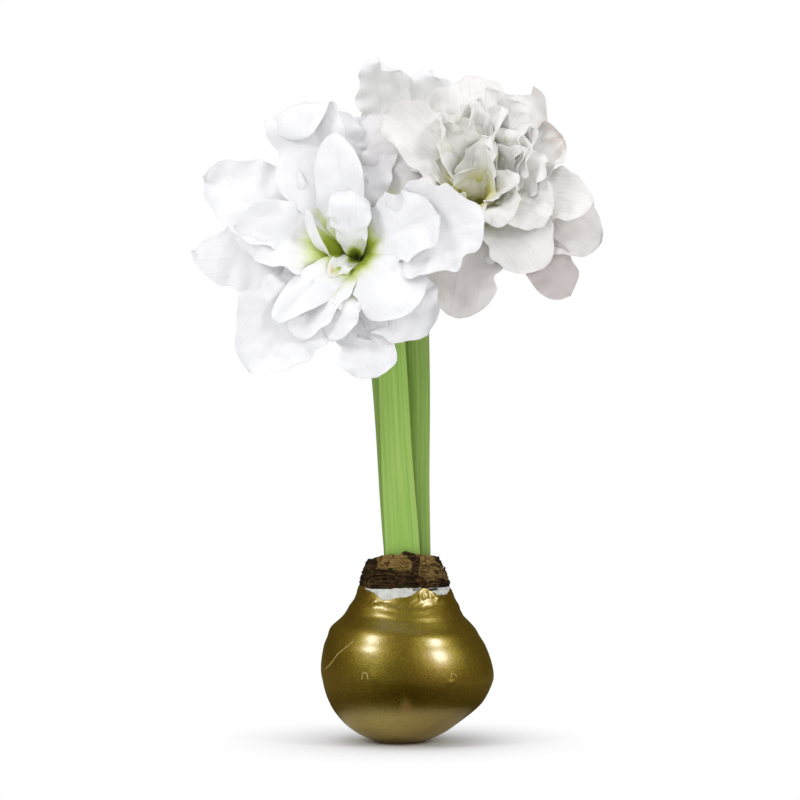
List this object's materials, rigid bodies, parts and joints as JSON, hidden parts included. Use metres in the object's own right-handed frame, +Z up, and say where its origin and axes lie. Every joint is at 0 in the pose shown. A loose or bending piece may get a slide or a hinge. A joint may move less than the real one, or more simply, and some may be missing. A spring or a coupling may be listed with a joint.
{
  "type": "waxed amaryllis bulb in bloom",
  "caption": "Flowering amaryllis on its own bulb, dipped in gold wax and flattened to stand, with white double blooms on green stems.",
  "frame": {"origin": "centre of the flat foot of the wax coat, on the surface that it stands on", "axes": "+Z up along the stems, -Y towards the front, which two of the blooms face, and +X to the right seen from the front"},
  "size_m": [0.225, 0.1647, 0.3862],
  "materials": {
    "gold_wax": "gold wax with a fine glitter, satin",
    "pale_wax": "matte wax without colour",
    "brown_skin": "dry papery skin, dull",
    "tan_skin": "dry papery skin, dull",
    "bulb_flesh": "moist bulb scales, satin",
    "stem_green": "smooth green stem, satin",
    "bract_paper": "papery bract, dull",
    "petal_white": "thin velvety petal, soft sheen"
  },
  "bodies": {
    "root": {"wax_coat": "gold_wax", "bare_wax": "pale_wax", "outer_skin": "brown_skin", "inner_skin": "tan_skin", "bulb": "bulb_flesh", "stem_front": "stem_green", "stem_right": "stem_green", "stem_back": "stem_green", "bracts_front": "bract_paper", "bracts_right": "bract_paper", "bracts_back": "bract_paper", "bloom_front": "petal_white", "bloom_right": "petal_white", "bloom_back": "petal_white"}
  },
  "joints": []
}
